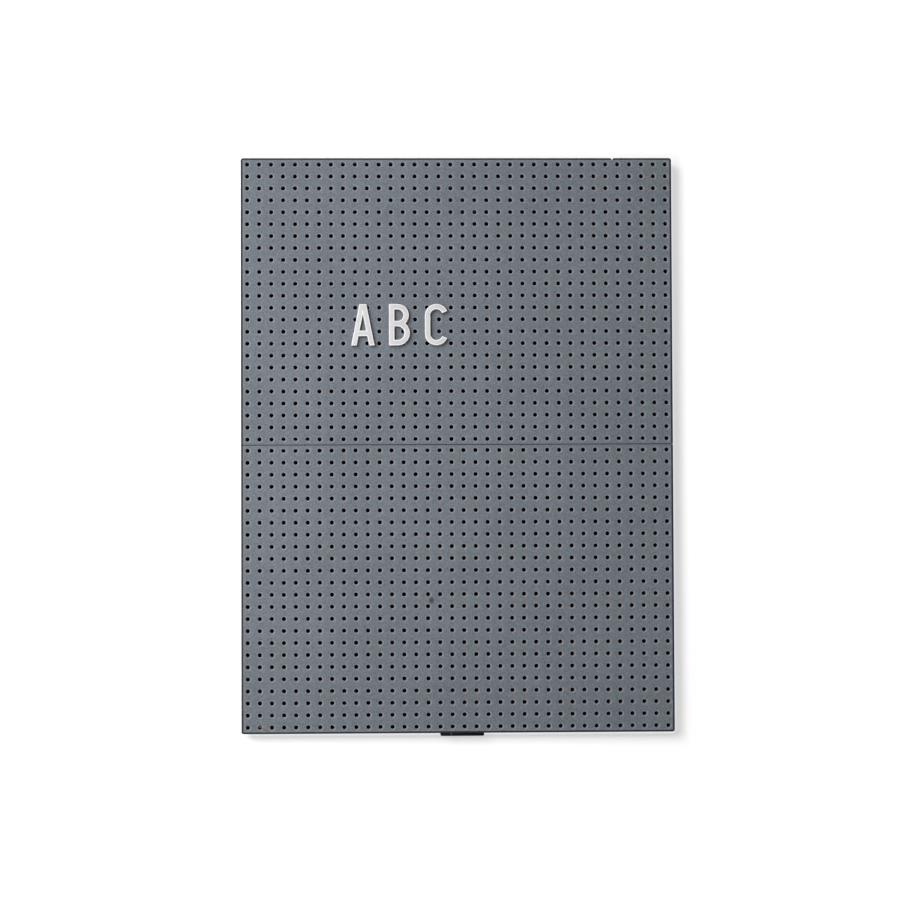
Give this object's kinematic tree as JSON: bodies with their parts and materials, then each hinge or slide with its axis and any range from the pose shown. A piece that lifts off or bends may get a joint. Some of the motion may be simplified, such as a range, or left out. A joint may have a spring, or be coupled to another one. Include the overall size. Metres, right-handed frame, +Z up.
{
  "type": "message board",
  "caption": "Wall message board: perforated grey plastic panels joined end to end by clips, with white plug-in letters on pegs.",
  "frame": {"origin": "point on the back face of the upper panel's hanger plate, on the board's upright centre line, where the board lies against its wall", "axes": "+X to the right seen from the front, +Y from the front into the wall, +Z up"},
  "size_m": [0.231, 0.0165, 0.3091],
  "materials": {
    "panel": "blue-grey ABS with a fine spark-eroded grain",
    "seam_clip": "blue-grey ABS, the panels' own colour",
    "bottom_clip": "black ABS, fine grain",
    "letter": "off-white ABS, satin"
  },
  "bodies": {
    "root": {"upper_panel": "panel", "lower_panel": "panel", "seam_clip_left": "seam_clip", "seam_clip_middle": "seam_clip", "seam_clip_right": "seam_clip", "bottom_clip": "bottom_clip", "letter_a": "letter", "letter_b": "letter", "letter_c": "letter"}
  },
  "joints": []
}
